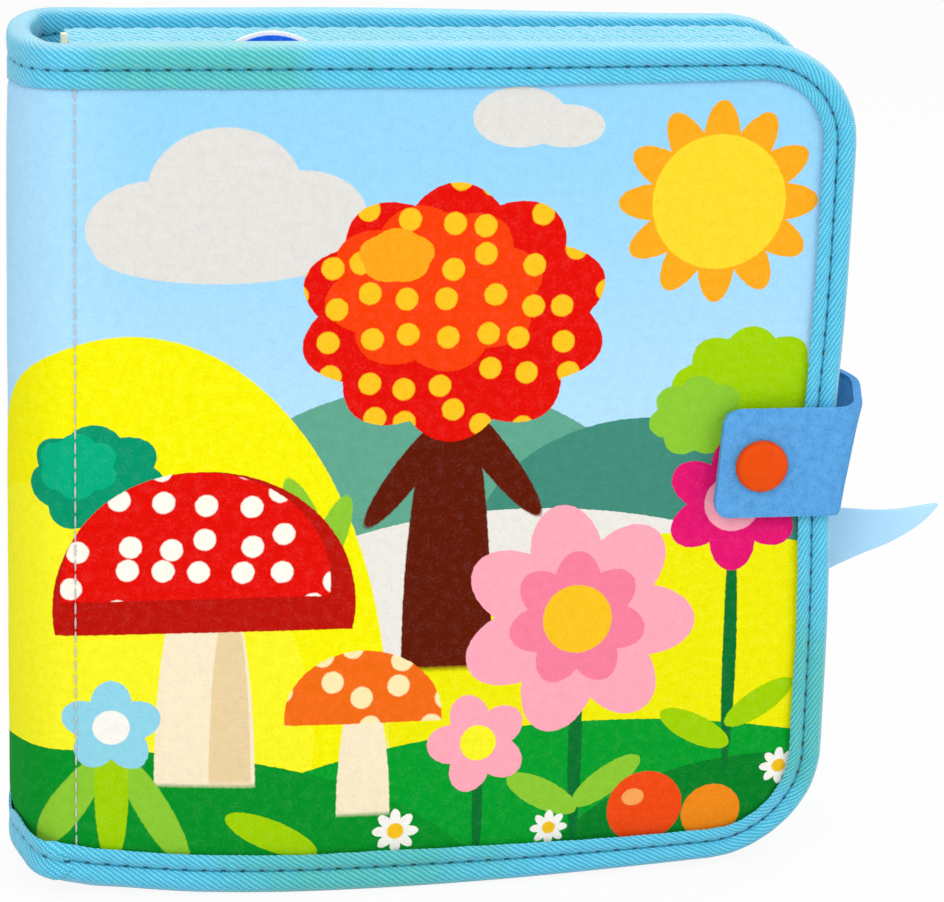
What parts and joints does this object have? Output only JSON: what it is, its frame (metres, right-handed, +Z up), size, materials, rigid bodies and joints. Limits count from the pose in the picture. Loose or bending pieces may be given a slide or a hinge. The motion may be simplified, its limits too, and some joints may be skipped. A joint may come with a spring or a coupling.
{
  "type": "sensory book",
  "caption": "Soft felt activity book for toddlers, ribbon-bound covers and leaves, closed by a felt strap with a press snap, with loose felt pieces between the leaves.",
  "frame": {"origin": "centre of the bounding box at the surface the book stands on", "axes": "+Z up, the front cover faces -Y, the spine is at -X and the fore-edge at +X"},
  "size_m": [0.2306, 0.0522, 0.2078],
  "materials": {
    "printed_felt": "matte printed felt",
    "lining_felt": "matte felt",
    "stiffener": "matte cream wadding",
    "ribbon": "twill ribbon, slight sheen",
    "leaf_felt": "matte felt",
    "patch": "hook and loop",
    "badge_white": "matte felt",
    "badge_blue": "matte felt",
    "figure_felt": "matte felt",
    "strap_felt": "matte felt",
    "snap_plastic": "smooth moulded plastic"
  },
  "bodies": {
    "spine": {"spine_felt": "printed_felt", "spine_lining": "lining_felt", "spine_ribbon_top": "ribbon", "spine_ribbon_bottom": "ribbon", "leaf_1_web": "stiffener", "leaf_2_web": "stiffener", "leaf_3_web": "stiffener", "leaf_4_web": "stiffener"},
    "front_cover": {"front_cover_felt": "printed_felt", "front_cover_stiffener": "stiffener", "front_cover_lining": "lining_felt", "front_cover_ribbon": "ribbon", "snap_stud": "snap_plastic", "snap_stud_back_cap": "snap_plastic"},
    "back_cover": {"back_cover_felt": "printed_felt", "back_cover_stiffener": "stiffener", "back_cover_lining": "lining_felt", "back_cover_ribbon": "ribbon", "strap_anchor": "strap_felt"},
    "leaf_1": {"leaf_1_front_felt": "leaf_felt", "leaf_1_stiffener": "stiffener", "leaf_1_back_felt": "leaf_felt", "leaf_1_ribbon": "ribbon", "leaf_1_loop_patch": "patch"},
    "leaf_2": {"leaf_2_front_felt": "leaf_felt", "leaf_2_stiffener": "stiffener", "leaf_2_back_felt": "leaf_felt", "leaf_2_ribbon": "ribbon"},
    "leaf_3": {"leaf_3_front_felt": "leaf_felt", "leaf_3_stiffener": "stiffener", "leaf_3_back_felt": "leaf_felt", "leaf_3_ribbon": "ribbon"},
    "leaf_4": {"leaf_4_front_felt": "leaf_felt", "leaf_4_stiffener": "stiffener", "leaf_4_back_felt": "leaf_felt", "leaf_4_ribbon": "ribbon"},
    "strap_side": {"strap_side": "strap_felt"},
    "strap_tab": {"strap_tab": "strap_felt", "snap_cap": "snap_plastic", "snap_socket": "snap_plastic"},
    "badge": {"badge_base": "badge_white", "badge_face": "badge_blue", "badge_hook_patch": "patch"},
    "figure": {"figure_felt": "figure_felt", "figure_hook_patch": "patch"}
  },
  "joints": [
    {"name": "front_cover_hinge", "type": "hinge", "parent": "spine", "child": "front_cover", "pos_m": [-0.101, -0.02045, 0.1025], "axis": [0, 0, -1], "range_deg": [0, 165]},
    {"name": "back_cover_hinge", "type": "hinge", "parent": "spine", "child": "back_cover", "pos_m": [-0.101, 0.02415, 0.1025], "axis": [0, 0, 1], "range_deg": [0, 165]},
    {"name": "leaf_1_hinge", "type": "hinge", "parent": "spine", "child": "leaf_1", "pos_m": [-0.0978, -0.00931, 0.1025], "axis": [0, 0, -1], "range_deg": [0, 82.5]},
    {"name": "leaf_2_hinge", "type": "hinge", "parent": "spine", "child": "leaf_2", "pos_m": [-0.0978, -0.00187, 0.1025], "axis": [0, 0, -1], "range_deg": [0, 36.3]},
    {"name": "leaf_3_hinge", "type": "hinge", "parent": "spine", "child": "leaf_3", "pos_m": [-0.0978, 0.00557, 0.1025], "axis": [0, 0, 1], "range_deg": [0, 36.3]},
    {"name": "leaf_4_hinge", "type": "hinge", "parent": "spine", "child": "leaf_4", "pos_m": [-0.0978, 0.01301, 0.1025], "axis": [0, 0, 1], "range_deg": [0, 82.5]},
    {"name": "strap_side_fold", "type": "hinge", "parent": "back_cover", "child": "strap_side", "pos_m": [0.0867, 0.02515, 0.1042], "axis": [0, 0, 1], "range_deg": [0, 160], "deforming": ["strap_side"]},
    {"name": "strap_tab_fold", "type": "hinge", "parent": "strap_side", "child": "strap_tab", "pos_m": [0.0867, -0.02255, 0.1042], "axis": [0, 0, 1], "range_deg": [0, 90], "deforming": ["strap_tab", "snap_cap", "snap_socket"]},
    {"name": "badge_slide", "type": "slide", "parent": "leaf_1", "child": "badge", "axis": [0, 0, 1], "range_m": [0, 0.028]},
    {"name": "figure_slide", "type": "slide", "parent": "leaf_2", "child": "figure", "axis": [1, 0, 0], "range_m": [0, 0.088]}
  ],
  "couplings": [
    {"joint": "leaf_1_hinge", "follows": "front_cover_hinge", "ratio": 0.5},
    {"joint": "leaf_2_hinge", "follows": "front_cover_hinge", "ratio": 0.22},
    {"joint": "leaf_3_hinge", "follows": "back_cover_hinge", "ratio": 0.22},
    {"joint": "leaf_4_hinge", "follows": "back_cover_hinge", "ratio": 0.5}
  ]
}
